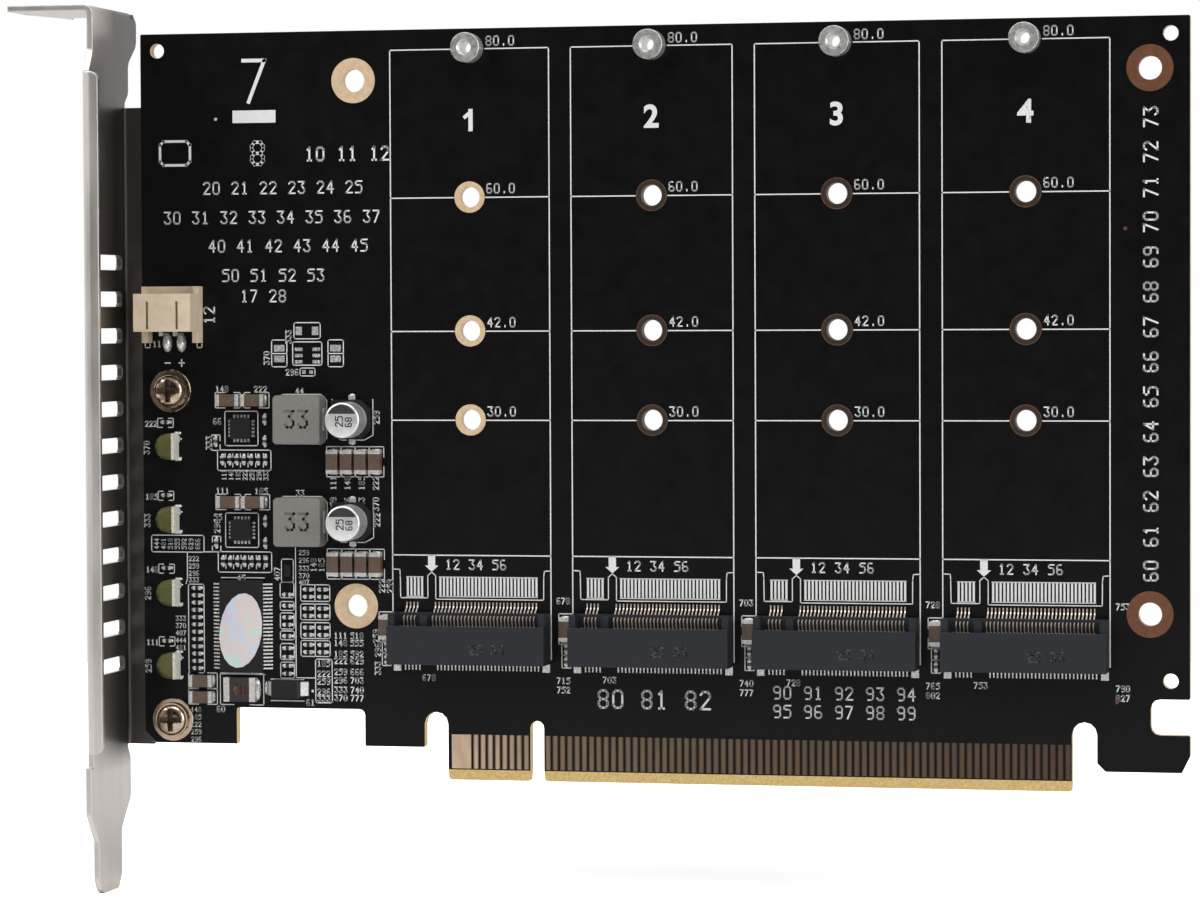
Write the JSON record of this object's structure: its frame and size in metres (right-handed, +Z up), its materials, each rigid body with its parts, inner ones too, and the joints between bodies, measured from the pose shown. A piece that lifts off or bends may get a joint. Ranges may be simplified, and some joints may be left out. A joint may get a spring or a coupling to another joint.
{
  "type": "nvme adapter card",
  "caption": "Upright black expansion card with M.2 sockets side by side, gold edge contacts along its foot and a vented, folded metal slot bracket at one end.",
  "frame": {"origin": "middle of the edge connector's key slot, at the lower edge of the tongue and at half the board's thickness", "axes": "+X along the card away from the bracket, +Y from the component side to the back, +Z up away from the edge contacts"},
  "size_m": [0.1576, 0.0212, 0.1202],
  "materials": {
    "solder_mask": "glossy black solder mask on glass-epoxy laminate",
    "gold_plating": "gold-plated edge contacts",
    "nickel_sheet": "nickel-plated steel sheet",
    "nickel_screw": "nickel-plated steel",
    "tinned_brass": "tin-plated brass",
    "socket_plastic": "moulded high-temperature plastic",
    "tinned_leads": "tinned leads with solder",
    "header_plastic": "natural moulded plastic",
    "led_lens": "clear tinted resin",
    "led_base": "white ceramic-filled resin",
    "aluminium_can": "plain drawn aluminium",
    "black_plastic": "black moulding compound",
    "ferrite_grey": "pressed iron powder",
    "label_film": "pale iridescent film",
    "fuse_green": "dark laminate",
    "capacitor_ceramic": "brown sintered ceramic",
    "resistor_film": "glazed film on ceramic"
  },
  "bodies": {
    "root": {"circuit_board": "solder_mask", "edge_contacts_front": "gold_plating", "edge_contacts_back": "gold_plating", "m2_solder_tabs": "tinned_leads", "m2_standoffs": "tinned_brass", "bracket": "nickel_sheet", "bracket_screws": "nickel_screw", "fan_header_housing": "header_plastic", "fan_header_pins": "tinned_leads", "led_bases": "led_base", "led_lenses": "led_lens", "capacitor_cans": "aluminium_can", "capacitor_bases": "black_plastic", "capacitor_terminals": "tinned_leads", "inductor_bodies": "ferrite_grey", "inductor_terminals": "tinned_leads", "clock_chip_body": "black_plastic", "clock_chip_leads": "tinned_leads", "inspection_label": "label_film", "regulator_chips": "black_plastic", "fuse_body": "fuse_green", "fuse_terminals": "tinned_leads", "diode_body": "black_plastic", "diode_terminals": "tinned_leads", "ceramic_capacitor_bodies": "capacitor_ceramic", "ceramic_capacitor_ends": "tinned_leads", "ferrite_bead": "ferrite_grey", "chip_resistors": "resistor_film", "small_capacitors": "capacitor_ceramic", "m2_housing_1": "socket_plastic", "m2_contacts_1": "tinned_leads", "m2_housing_2": "socket_plastic", "m2_contacts_2": "tinned_leads", "m2_housing_3": "socket_plastic", "m2_contacts_3": "tinned_leads", "m2_housing_4": "socket_plastic", "m2_contacts_4": "tinned_leads"}
  },
  "joints": []
}
